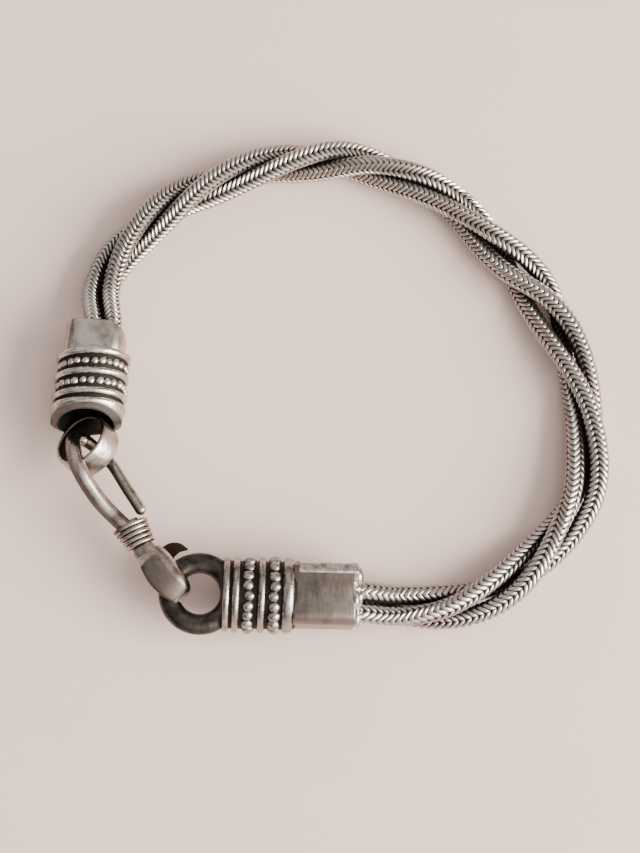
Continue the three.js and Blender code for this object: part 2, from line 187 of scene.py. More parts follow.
def strands():
    return bpy.context.scene.bracelet_strands


def caps():
    return bpy.context.scene.bracelet_caps


def hook_sizes():
    return bpy.context.scene.bracelet_hook


def finish():
    return bpy.context.scene.bracelet_finish


def clear_selection():
    if bpy.context.object and bpy.context.object.mode != "OBJECT":
        bpy.ops.object.mode_set(mode="OBJECT")
    bpy.ops.object.select_all(action="DESELECT")


def select_only(obj):
    clear_selection()
    obj.select_set(True)
    bpy.context.view_layer.objects.active = obj


def join(pieces, name):
    clear_selection()
    for piece in pieces:
        piece.select_set(True)
    bpy.context.view_layer.objects.active = pieces[0]
    if len(pieces) > 1:
        bpy.ops.object.join()
    pieces[0].name = name
    pieces[0].data.name = name
    return pieces[0]


def apply_modifiers(obj):
    select_only(obj)
    for modifier in list(obj.modifiers):
        bpy.ops.object.modifier_apply(modifier=modifier.name)


def mend(obj):
    """Merge the doubles of a mesh and point its faces outwards."""
    select_only(obj)
    edit_all()
    bpy.ops.mesh.remove_doubles(threshold=1e-6)
    close_edit()


def edit_all():
    """Edit the active piece with all of it selected."""
    bpy.ops.object.mode_set(mode="EDIT")
    bpy.ops.mesh.select_all(action="SELECT")


def close_edit():
    """Point all faces outwards and leave the mesh."""
    bpy.ops.mesh.normals_make_consistent(inside=False)
    bpy.ops.object.mode_set(mode="OBJECT")


def spin(steps, dupli=False):
    """Spin what is selected once round +X."""
    bpy.ops.mesh.spin(
        dupli=dupli, steps=steps, angle=2 * math.pi, center=(0, 0, 0), axis=(1, 0, 0)
    )


def fresh(name):
    """The piece that was just added, named, with its place put into its mesh."""
    piece = bpy.context.object
    piece.name = name
    settle(piece)
    return piece


def copy_of(piece, name):
    made = bpy.data.objects.new(name, piece.data.copy())
    bpy.context.collection.objects.link(made)
    return made


def smooth(obj, angle):
    select_only(obj)
    bpy.ops.object.shade_smooth_by_angle(angle=math.radians(angle))


def settle(obj, place=None):
    """Put the piece's place into its mesh."""
    if place is not None:
        obj.matrix_world = place @ obj.matrix_world
    bpy.context.view_layer.update()
    select_only(obj)
    bpy.ops.object.transform_apply(location=True, rotation=True, scale=True)


def wear_and_painted_light(obj, amount):
    """Store how worn each point is, from 0 in the hollows to 1 on the high places; some
    pieces also paint light and shade into these values.
    """
    mesh = obj.data
    layer = mesh.attributes.get("wear_and_painted_light") or mesh.attributes.new("wear_and_painted_light", "FLOAT", "POINT")
    for i, vertex in enumerate(mesh.vertices):
        layer.data[i].value = max(0.0, min(1.0, amount(vertex.co)))


def surface(obj, worn, angle):
    """Store a piece's wear and painted light, a function or one value, and smooth it
    below an angle.
    """
    wear_and_painted_light(obj, worn if callable(worn) else lambda co: worn)
    smooth(obj, angle)


def hand_over(obj, node, material, place=None):
    """Finish a piece: place, material, the CAD node that it stands for, hidden, and
    body.
    """
    settle(obj, place)
    for vertex in obj.data.vertices:
        vertex.co.z = max(vertex.co.z, FLOOR_GAP)
    obj.data.materials.clear()
    obj.data.materials.append(material)
    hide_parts(node)
    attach(obj, "root")


def rotation(angle, axis):
    return Matrix.Rotation(math.radians(angle), 4, axis)


def hand_over_cap(piece, cap, material):
    """Finish a piece of an end cap, built with the cap's mouth at the origin."""
    mouth = Matrix.Translation((Vector(cap["mouth"]) + SHIFT) * MM)
    place = mouth @ rotation(cap["heading"], "Z") @ rotation(cap["tilt"], "Y")
    hand_over(piece, cap["node"], material, place)


def eased(value, low, high):
    """Smooth rise from 0 at low to 1 at high."""
    share = min(max((value - low) / (high - low), 0.0), 1.0)
    return share * share * (3 - 2 * share)


# Smooth routes


class Route:
    """A smooth curve through points, measured along its length."""

    def __init__(self, points, samples=3000):
        self.points = [Vector(p) for p in points]
        self.places = [self.raw(i / samples) for i in range(samples + 1)]
        self.lengths = [0.0]
        for a, b in zip(self.places, self.places[1:]):
            self.lengths.append(self.lengths[-1] + (b - a).length)
        self.length = self.lengths[-1]

    def raw(self, t):
        points = self.points
        last = len(points) - 1
        where = min(max(t, 0.0), 1.0) * last
        i = min(int(where), last - 1)
        u = where - i
        b, c = points[i], points[i + 1]
        a = points[i - 1] if i > 0 else b * 2 - c
        d = points[i + 2] if i + 2 <= last else c * 2 - b
        before = (b - a).length ** 0.5
        here = (c - b).length ** 0.5
        after = (d - c).length ** 0.5
        start = (b - a) / before - (c - a) / (before + here) + (c - b) / here
        end = (c - b) / here - (d - b) / (here + after) + (d - c) / after
        start, end = start * here, end * here
        quad = -3 * b + 3 * c - 2 * start - end
        cube = 2 * b - 2 * c + start + end
        return b + start * u + quad * u * u + cube * u * u * u

    def at(self, share):
        """The point and the direction at a share of the length."""
        samples = len(self.places) - 1
        goal = min(max(share, 0.0), 1.0) * self.length
        high = min(bisect.bisect_right(self.lengths, goal), samples)
        low = high - 1
        span = self.lengths[high] - self.lengths[low]
        part = (goal - self.lengths[low]) / span if span else 0.0
        t = (low + part) / samples
        ahead = self.raw(min(t + 1e-4, 1.0)) - self.raw(max(t - 1e-4, 0.0))
        return self.raw(t), ahead.normalized()


def table_value(rows, column, share):
    last = len(rows) - 1
    i = 0
    while i < last - 1 and share > rows[i + 1][0]:
        i += 1

    def slope(k):
        a, b = rows[max(k - 1, 0)], rows[min(k + 1, last)]
        return (b[column] - a[column]) / (b[0] - a[0])

    span = rows[i + 1][0] - rows[i][0]
    u = min(max((share - rows[i][0]) / span, 0.0), 1.0)
    rise = rows[i + 1][column] - rows[i][column]
    start, end = slope(i) * span, slope(i + 1) * span
    a = start + end - 2 * rise
    b = 3 * rise - 2 * start - end
    return rows[i][column] + start * u + b * u * u + a * u * u * u


def strand_line(index, count):
    """Points of a strand's middle line in metres, each with the turn of its section
    and the bundle's middle, outside and spread beside it.
    """
    bundle = Route(BUNDLE_ROUTE)
    line = []
    for i in range(count + 1):
        share = i / count
        point, ahead = bundle.at(share)
        outside = Vector((0, 0, 1)).cross(ahead).normalized()
        turn = table_value(TWIST, 1, share)
        spread = table_value(TWIST, 2, share)
        angle = math.radians(turn + STRAND_PHASES[index])
        place = point + outside * (TWIST_RADIUS * spread * math.sin(angle))
        place.z += TWIST_RADIUS * math.cos(angle)
        own = table_value(SECTION_TURNS[index], 1, share)
        beside = ((point + SHIFT) * MM, outside, spread)
        line.append(((place + SHIFT) * MM, math.radians(own), beside))
    return line


# Materials


ROUGH_DARK = 0.6
UNEVEN = 0.5
SCUFF = 0.24
BLOTCHES = (0.42, 0.68)
GRAIN_DEPTH = 0.08 * MM


def node(tree, kind, inputs=None, **settings):
    made = tree.nodes.new(kind)
    for key, value in settings.items():
        setattr(made, key, value)
    for socket, value in (inputs or {}).items():
        made.inputs[socket].default_value = value
    return made


def connect(tree, rows):
    """Link each row's output to its input: node, socket, node, socket."""
    for source, output, target, socket in rows:
        tree.links.new(source.outputs[output], target.inputs[socket])


def ranged(tree, low, high, dim=0.0, bright=1.0, way="LINEAR"):
    """Node that maps low to dim and high to bright."""
    spans = {"From Min": low, "From Max": high, "To Min": dim, "To Max": bright}
    return node(tree, "ShaderNodeMapRange", spans, interpolation_type=way)


def noise(tree, scale, detail, roughness=0.5):
    settings = {"Scale": scale, "Detail": detail, "Roughness": roughness}
    return node(tree, "ShaderNodeTexNoise", settings)


def swing(tree, amount):
    """Node that turns 0 to 1 into half the amount below and above zero."""
    settings = {1: amount, 2: -amount / 2}
    return node(tree, "ShaderNodeMath", settings, operation="MULTIPLY_ADD")


def blend(tree, low, high=(0.5, 0.5, 0.5)):
    colours = {"A": (*low, 1), "B": (*high, 1)}
    return node(tree, "ShaderNodeMix", colours, data_type="RGBA")


def oxidised_silver(
    name,
    silver=None,
    oxide=None,
    wear_low=0.15,
    wear_high=0.75,
    patina=(0.30, 0.265, 0.235),
    patina_amount=0.5,
    patina_scale=260,
    rough_worn=0.26,
    grain=0.25,
    grain_scale=2600,
    streaks=(1, 1, 1),
):
    """Silver that is bright on its worn places and dark with oxide in its hollows, as
    stored per point, where some pieces also hold painted light and shade.
    """
    material = bpy.data.materials.new(name)
    material.use_nodes = True
    tree = material.node_tree
    tree.nodes.clear()
    out = node(tree, "ShaderNodeOutputMaterial")
    shader = node(tree, "ShaderNodeBsdfPrincipled", {"Metallic": 1.0})
    place = node(tree, "ShaderNodeTexCoord")
    worn = node(tree, "ShaderNodeAttribute", attribute_name="wear_and_painted_light")
    blotch = noise(tree, patina_scale, 5.0, 0.6)
    fine = noise(tree, grain_scale, 4.0, 0.65)
    stretch = node(tree, "ShaderNodeMapping", {"Scale": streaks})
    uneven = swing(tree, UNEVEN)
    total = node(tree, "ShaderNodeMath", operation="ADD")
    high = ranged(tree, wear_low, wear_high, way="SMOOTHSTEP")
    blot = ranged(tree, *BLOTCHES, 0.0, patina_amount)
    tone = blend(tree, silver or finish().silver, patina)
    colour = blend(tree, oxide or finish().oxide)
    rough = ranged(tree, 0.0, 1.0, ROUGH_DARK, rough_worn)
    scuff = swing(tree, SCUFF)
    rough_all = node(tree, "ShaderNodeMath", operation="ADD", use_clamp=True)
    bump = node(tree, "ShaderNodeBump", {"Strength": grain, "Distance": GRAIN_DEPTH})
    rows = [
        (shader, "BSDF", out, "Surface"), (place, "Object", stretch, "Vector"),
        (place, "Object", blotch, "Vector"), (stretch, "Vector", fine, "Vector"),
        (blotch, "Fac", uneven, 0), (worn, "Fac", total, 0), (uneven, 0, total, 1),
        (total, 0, high, "Value"), (blotch, "Fac", blot, "Value"),
        (blot, "Result", tone, "Factor"), (high, "Result", colour, "Factor"),
        (tone, "Result", colour, "B"), (colour, "Result", shader, "Base Color"),
        (high, "Result", rough, "Value"), (fine, "Fac", scuff, 0),
        (rough, "Result", rough_all, 0), (scuff, 0, rough_all, 1),
        (rough_all, 0, shader, "Roughness"), (fine, "Fac", bump, "Height"),
        (bump, "Normal", shader, "Normal"),
    ]
    connect(tree, rows)
    return material


# Woven strands


def poly_curve(name, points):
    """A curve straight from point to point, and its spline's points."""
    curve = bpy.data.curves.new(name, "CURVE")
    curve.dimensions = "3D"
    spline = curve.splines.new("POLY")
    spline.points.add(len(points) - 1)
    for i, point in enumerate(points):
        spline.points[i].co = (*point, 1)
    made = bpy.data.objects.new(name, curve)
    bpy.context.collection.objects.link(made)
    return made, spline.points


def wire_mesh(name, points, radius, sides, factors=None):
    """A round wire through points as a closed mesh."""
    wire, spots = poly_curve(name, points)
    for spot, factor in zip(spots, factors or []):
        spot.radius = factor
    wire.data.bevel_depth = radius
    wire.data.bevel_resolution = sides
    wire.data.use_fill_caps = True
    select_only(wire)
    bpy.ops.object.convert(target="MESH")
    return bpy.context.object


LINE_POINTS = 420
CORE_SINK = 0.33 * MM
WORN_DEPTH = 0.34 * MM

# Where the oxide and painted shade between and under the strands end, in millimetres
# from the bundle's middle.
DARK_REACH = (0.9, 1.9)
DARKEST = 0.25

# Rows stand at 0.8 of the pitch at the hook's end and at 1.1 of it at the ring's end.
ROWS_CLOSE = 0.8
ROWS_WIDEN = 0.3
ROWS_SHORT = 1.0 * MM

# Half an arch of the weave: turn from the ridge, forward reach, sink and thickness.
ARCH = [
    (-61, 0.00, -0.40, 0.8),
    (-55, 0.12, -0.12, 0.95),
    (-43, 0.35, -0.01, 1.0),
    (-27, 0.67, 0.0, 1.0),
    (-12, 0.97, -0.02, 1.1),
    (-3, 1.16, -0.07, 1.36),
]


def envelope(turn):
    """Reach of the weave at a turn from a ridge, least in the furrows at 60 degrees."""
    sizes = strands()
    share = 0.5 + 0.5 * math.cos(math.radians(turn) * 3)
    return sizes.furrow + (sizes.ridge - sizes.furrow) * share


def woven_row():
    """One row of the weave round +X: three arches over the ridges, and the core."""
    sizes = strands()
    points, factors = [], []
    for turn, forward, sink, size in ARCH + [(-row[0], *row[1:]) for row in ARCH[::-1]]:
        reach = envelope(turn) - sizes.wire / 2 + sink * MM
        angle = math.radians(turn + 90)
        points.append((forward * MM, reach * math.cos(angle), reach * math.sin(angle)))
        factors.append(size)
    row = wire_mesh("woven_row", points, sizes.wire / 2, 1, factors)
    edit_all()
    spin(3, dupli=True)
    bpy.ops.object.mode_set(mode="OBJECT")
    bpy.ops.object.select_all(action="DESELECT")
    bpy.ops.mesh.primitive_cylinder_add(
        vertices=12,
        radius=sizes.furrow - CORE_SINK,
        depth=sizes.pitch,
        end_fill_type="NOTHING",
        location=(sizes.pitch / 2, 0, 0),
        rotation=(0, math.pi / 2, 0),
    )
    row = join([row, fresh("woven_core")], "woven_row")
    mend(row)

    def worn(co):
        turn = math.degrees(math.atan2(co.z, co.y)) - 90
        return 1.0 - (envelope(turn) - math.hypot(co.y, co.z)) / WORN_DEPTH

    wear_and_painted_light(row, worn)
    return row


def spaced(along, length):
    """Place of an evenly spaced point when the rows widen toward the ring's end."""
    widened = math.exp(ROWS_WIDEN * along / length) - 1
    return length * ROWS_CLOSE / ROWS_WIDEN * widened


def beside_rows(line, pitch, count):
    """The bundle beside each row of a strand."""
    lengths = [0.0]
    for a, b in zip(line, line[1:]):
        lengths.append(lengths[-1] + (b[0] - a[0]).length)
    goals = [spaced((row + 0.5) * pitch, lengths[-1]) for row in range(count)]
    return [line[max(bisect.bisect_left(lengths, goal) - 1, 0)][2] for goal in goals]


def oxide_and_shade_between(strand, row_size, middles):
    """Leave the oxide deep between the strands and under the bundle, with painted shade
    there too.
    """
    layer = strand.data.attributes["wear_and_painted_light"]
    for i, vertex in enumerate(strand.data.vertices):
        middle, outside, spread = middles[min(i // row_size, len(middles) - 1)]
        off = vertex.co - middle
        reach = math.hypot(off.dot(outside) / spread, off.z) / MM
        layer.data[i].value *= DARKEST + (1 - DARKEST) * eased(reach, *DARK_REACH)


class BRACELET_OT_strands(bpy.types.Operator):
    """Weave the three strands and twist them together"""

    bl_idname = "bracelet.strands"
    bl_label = "Woven strands"

    def execute(self, context):
        silver = oxidised_silver(
            "woven_silver", wear_low=0.2, wear_high=0.8, patina_amount=0.45,
            patina_scale=420, rough_worn=0.3, grain=0.12,
        )
        row = woven_row()
        for index in range(3):
            strand = self.strand(row, strand_line(index, LINE_POINTS))
            strand = join([strand], f"woven_strand_{index + 1}")
            hand_over(strand, f"strand_{index + 1}", silver)
        bpy.data.objects.remove(row)
        return {"FINISHED"}

    def strand(self, row, line):
        """Rows of the weave set along a strand's line and turned with it."""
        pitch = strands().pitch
        length = sum((b[0] - a[0]).length for a, b in zip(line, line[1:]))
        path, spots = poly_curve("strand_line", [point for point, turn, beside in line])
        path.data.twist_mode = "Z_UP"
        for spot, (point, turn, beside) in zip(spots, line):
            spot.tilt = -turn
        strand = copy_of(row, "woven")
        select_only(strand)
        rows = strand.modifiers.new("Rows", "ARRAY")
        rows.use_relative_offset = False
        rows.use_constant_offset = True
        rows.constant_offset_displace = (pitch, 0, 0)
        reach = 1 + ROWS_WIDEN / ROWS_CLOSE * (1 - ROWS_SHORT / length)
        rows.count = int(length / ROWS_WIDEN * math.log(reach) / pitch)
        middles = beside_rows(line, pitch, rows.count)
        apply_modifiers(strand)
        for vertex in strand.data.vertices:
            vertex.co.x = spaced(vertex.co.x, length)
        bend = strand.modifiers.new("Along", "CURVE")
        bend.object = path
        bend.deform_axis = "POS_X"
        apply_modifiers(strand)
        # Painted shade and oxide: lower the wear toward the bundle's middle and
        # underneath.
        oxide_and_shade_between(strand, len(row.data.vertices), middles)
        smooth(strand, 60)
        bpy.data.objects.remove(path)
        return strand


# End caps


# Lip of a barrel: share of its rim's reach, and radius past the inner wall.
LIP = [(0.6, 0.06), (1.0, 0.22), (1.0, 0.42), (0.75, 0.62)]
LIP_DEPTH = 0.4
LIP_TONE = 0.34
NEAR_AXIS = 0.01
SHOULDER = 0.25

# Granules: spread along and around, lift, and squash along, across and up.
GRANULE_AROUND = (-0.1, 0.1)
GRANULE_ALONG = (-0.05, 0.05)
GRANULE_LIFT = (-0.1, 0.06)
GRANULE_SQUASH = [(0.88, 1.04), (0.78, 0.96), (0.62, 0.8)]

# Bumps of a lump of solder: how many, how high, and the radius between them.
LUMP_BUMPS = 5
LUMP_BUMP_HEIGHT = (0.15, 0.4)
LUMP_BODY = 0.9

# Solder round the ring collar's bore, and one lump beside its seam.
SOLDER_COUNT = 17
SOLDER_FAN = 72
SOLDER_SWAY = (-6, 6)
SOLDER_REACH = (-0.5, 0.3)
SOLDER_ALONG = (-0.15, 0.35)
SOLDER_SIZE = (1.4, 2.4)
SOLDER_FLAT = (0.4, 0.65)
SOLDER_DROP = 0.1
SEAM_LUMP = (0.15, 3.5, 2.6)

SEAM_WIDTH = 1.75
SEAM_HEIGHT = 0.7
SEAM_OVERRUN = 0.3
SEAM_SINK = (0.72, 0.62)
SEAM_TURN = -38

COLLAR_OVERLAP = 0.5
COLLAR_HOLLOW = 2.6
COLLAR_EDGE = 0.28

# Crimp of the hook collar's far end: how long, from which side, and how strong.
CRIMP_LENGTH = 1.2 * MM
CRIMP_SIDE = -2.4 * MM
CRIMP_PULL = 0.75

# Loop soldered in the hook cap's mouth.
LOOP = {"outer": 3.95, "wall": 0.6, "depth": 3.3, "edge": 0.26}
LOOP_INSIDE = 3.4
LOOP_SPOT = (-4.2, -0.45, -0.8)
LOOP_TURNS = [(20, "Y"), (-35, "X"), (90, "Y")]

RING_RADIUS = 4.0
RING_WIRE_RADIUS = 1.36
RING_SPOT = (-2.9, 0, 0)
RING_FLAT = 0.88


def turned(name, outline):
    """A turned shape: an outline of (along, radius) in millimetres spun round +X."""
    outline = [(along * MM, radius * MM) for along, radius in outline]
    clear_selection()
    along, radius = outline[0]
    bpy.ops.mesh.primitive_plane_add(size=0.001, location=(along, 0, radius))
    piece = fresh(name)
    edit_all()
    bpy.ops.mesh.merge(type="CENTER")
    for a, b in zip(outline, outline[1:]):
        bpy.ops.mesh.extrude_vertices_move(
            MESH_OT_extrude_verts_indiv={},
            TRANSFORM_OT_translate={"value": (b[0] - a[0], 0, b[1] - a[1])},
        )
    bpy.ops.mesh.select_all(action="SELECT")
    spin(caps().sides)
    bpy.ops.mesh.select_all(action="SELECT")
    bpy.ops.mesh.remove_doubles(threshold=2e-6)
    close_edit()
    return piece


def arc(centre, radius, half, height):
    """Points of a half-round rib on an outline, from the mouth to the collar."""
    found = []
    for i in range(RIB_STEPS + 1):
        angle = math.pi * i / RIB_STEPS
        rise = height * math.sin(angle) ** 0.8
        found.append((centre - half * math.cos(angle), radius + rise))
    return found


def lean(piece, cap):
    """Set the ribs and granules slightly askew."""
    for vertex in piece.data.vertices:
        vertex.co.x -= cap["lean"] * vertex.co.y


def barrel(cap):
    """Hollow barrel with its ribs and its slanted lip."""
    radius = caps().barrel / MM / 2
    length = cap["length"]
    rim = cap["rim"]
    inner = radius - MOUTH_WALL
    outline = [(MOUTH_DEPTH, NEAR_AXIS), (MOUTH_DEPTH, inner), (LIP_DEPTH, inner)]
    outline += [(-share * rim, inner + rise) for share, rise in LIP]
    for middle, width in cap["ribs"]:
        centre = middle * length
        half = min(width * length / 2, centre, length - centre)
        outline += arc(centre, radius, half, RIB_HEIGHT)
    outline += [(length, radius - SHOULDER), (length, NEAR_AXIS)]
    piece = turned(cap["name"] + "_barrel", outline)

    def worn(co):
        reach = math.hypot(co.y, co.z) / MM
        if co.x < 0.05 * MM and reach > inner + 0.1:
            return LIP_TONE
        if reach < radius - 0.15:
            return 0.05
        return 0.1 + (reach - radius) / RIB_HEIGHT

    wear_and_painted_light(piece, worn)
    for vertex in piece.data.vertices:
        if -1.5 * rim * MM < vertex.co.x < 0.05 * MM:
            drop = min(1 - vertex.co.z / (radius * MM), 1)
            vertex.co.x -= cap["slant"] * drop * MM
    lean(piece, cap)
    smooth(piece, 60)
    return piece


def granules(cap):
    """Rows of soldered granules, none quite like the next."""
    name = cap["name"] + "_granules"
    radius = caps().barrel / 2
    size = cap["granule"] * MM
    draw = random.Random(cap["seed"]).uniform
    made = []
    clear_selection()
    bpy.ops.mesh.primitive_uv_sphere_add(
        segments=10, ring_count=8, radius=size / 2, location=(0, 0, 0)
    )
    first = bpy.context.object
    for row in cap["rows"]:
        for i in range(cap["granules"]):
            angle = 2 * math.pi * (i + 0.5 + draw(*GRANULE_AROUND)) / cap["granules"]
            along = row * cap["length"] * MM + draw(*GRANULE_ALONG) * size
            up = radius + draw(*GRANULE_LIFT) * size
            granule = copy_of(first, name)
            squash = Matrix.Diagonal([draw(*span) for span in GRANULE_SQUASH] + [1])
            turn = Matrix.Rotation(angle, 4, "X")
            tumble = Matrix.Rotation(draw(0, 3), 4, (1, 0.6, 0.3))
            spot = Matrix.Translation((along, 0, up))
            granule.matrix_world = turn @ spot @ squash @ tumble
            made.append(granule)
    bpy.data.objects.remove(first)
    piece = join(made, name)
    settle(piece)

    def worn(co):
        rise = math.hypot(co.y, co.z) - radius + 0.08 * size
        return 0.1 + min(rise / (0.5 * size), 0.62)

    wear_and_painted_light(piece, worn)
    lean(piece, cap)
    smooth(piece, 80)
    return piece


def lumps(name, places, seed):
    """Irregular lumps of solder: place, size in millimetres and flattening along +X."""
    draw = random.Random(seed).uniform
    clear_selection()
    bpy.ops.mesh.primitive_ico_sphere_add(subdivisions=3, radius=0.5 * MM)
    first = bpy.context.object
    made = []
    for place, size, flat in places:
        lump = copy_of(first, name)
        bumps = []
        for _ in range(LUMP_BUMPS):
            way = Vector([draw(-1, 1) for _ in range(3)]).normalized()
            bumps.append((way, draw(*LUMP_BUMP_HEIGHT)))
        for vertex in lump.data.vertices:
            aim = vertex.co.normalized()
            swell = sum(high * max(aim.dot(way), 0) ** 3 for way, high in bumps)
            vertex.co = aim * ((LUMP_BODY + swell) * size * 0.5 * MM)
            vertex.co.x *= flat
        lump.matrix_world = Matrix.Translation(Vector(place) * MM)
        made.append(lump)
    bpy.data.objects.remove(first)
    piece = join(made, name)
    settle(piece)
    surface(piece, 0.62, 70)
    return piece


def box(name, size, middle=(0, 0, 0)):
    clear_selection()
    bpy.ops.mesh.primitive_cube_add(size=1, location=middle, scale=size)
    return fresh(name)


def rounded(piece, width, segments, **limits):
    """Round the edges of a piece."""
    bevel = piece.modifiers.new("Edges", "BEVEL")
    bevel.width = width * MM
    bevel.segments = segments
    for key, value in limits.items():
        setattr(bevel, key, value)
    apply_modifiers(piece)


def collar(cap):
    """Squared collar with rounded corners, hollow at its end."""
    width = cap["collar_width"] * MM
    start = (cap["length"] - COLLAR_OVERLAP) * MM
    end = (cap["length"] + cap["collar"]) * MM
    size = (end - start, width, width)
    piece = box(cap["name"] + "_collar", size, ((start + end) / 2, 0, 0))
    bpy.ops.object.mode_set(mode="EDIT")
    bm = bmesh.from_edit_mesh(piece.data)
    for edge in bm.edges:
        a, b = edge.verts
        edge.select = abs(a.co.x - b.co.x) > 0.5 * (end - start)
    bmesh.update_edit_mesh(piece.data)
    bpy.ops.mesh.bevel(offset=cap["collar_corner"] * MM * 1.15, segments=6)
    bm = bmesh.from_edit_mesh(piece.data)
    bm.select_mode = {"FACE"}
    for face in bm.faces:
        face.select = face.normal.x > 0.9
    bmesh.update_edit_mesh(piece.data)
    bpy.context.tool_settings.mesh_select_mode = (False, False, True)
    bore = cap["bore_radius"] * MM
    bpy.ops.mesh.inset(thickness=(width / 2 - bore) * 0.82, depth=0)
    bpy.ops.mesh.extrude_region_move(
        TRANSFORM_OT_translate={"value": (-COLLAR_HOLLOW * MM, 0, 0)}
    )
    bpy.context.tool_settings.mesh_select_mode = (True, False, False)
    bpy.ops.object.mode_set(mode="OBJECT")
    limit = math.radians(50)
    rounded(piece, COLLAR_EDGE, 3, limit_method="ANGLE", angle_limit=limit)

    def worn(co):
        reach = math.hypot(co.y, co.z)
        return 0.0 if co.x < end - 0.4 * MM and reach < bore + 0.2 * MM else 0.75

    surface(piece, worn, 40)
    return piece


def band_loop(name, outer, wall, depth, edge):
    """A closed soldered band with rounded edges round +X."""
    inner = outer - wall + edge
    outer -= edge
    half = depth / 2 - edge
    corners = [(-half, inner), (half, inner), (half, outer), (-half, outer)]
    outline = []
    for corner, (along, radius) in enumerate(corners):
        for i in range(5):
            angle = math.radians(90 * (corner + 2 + i / 4))
            rise = edge * math.sin(angle)
            outline.append((along + edge * math.cos(angle), radius + rise))
    return turned(name, outline + outline[:1])


class BRACELET_OT_hook_cap(bpy.types.Operator):
    """Turn, bead and solder the end cap that carries the hook"""

    bl_idname = "bracelet.hook_cap"
    bl_label = "Hook end cap"

    def execute(self, context):
        cap = HOOK_CAP
        silver = oxidised_silver(
            "hook_cap_silver", silver=(0.6, 0.54, 0.49), oxide=(0.03, 0.025, 0.021),
            patina=(0.12, 0.1, 0.085), patina_amount=0.75, patina_scale=600, grain=0.5,
            wear_low=0.15,
        )
        bare = oxidised_silver(
            "hook_collar_silver", silver=(0.52, 0.46, 0.41),
            oxide=(0.008, 0.007, 0.006), wear_low=0.1, wear_high=0.9,
            patina=(0.12, 0.093, 0.075), patina_amount=0.95, patina_scale=320,
            rough_worn=0.27, grain=0.6, grain_scale=1500, streaks=(1.0, 0.3, 1.0),
        )
        hand_over_cap(barrel(cap), cap, silver)
        hand_over_cap(granules(cap), cap, silver)
        hand_over_cap(self.crimped(cap), cap, bare)
        hand_over_cap(self.loop(), cap, bare)
        return {"FINISHED"}

    def crimped(self, cap):
        """The collar, with one side of its far end crimped."""
        piece = collar(cap)
        start = (cap["length"] + cap["collar"]) * MM - CRIMP_LENGTH
        for vertex in piece.data.vertices:
            near = vertex.co.x - start
            past = vertex.co.y - CRIMP_SIDE
            if near > 0 and past < 0:
                vertex.co.x += CRIMP_PULL * past * near / CRIMP_LENGTH
        return piece

    def loop(self):
        """The leaning loop that the hook's eye hangs in."""
        piece = band_loop("hook_cap_loop", **LOOP)

        def worn(co):
            return 0.0 if math.hypot(co.y, co.z) / MM < LOOP_INSIDE else 0.8

        surface(piece, worn, 60)
        place = Matrix.Translation(Vector(LOOP_SPOT) * MM)
        for angle, axis in LOOP_TURNS:
            place = place @ rotation(angle, axis)
        settle(piece, place)
        return piece


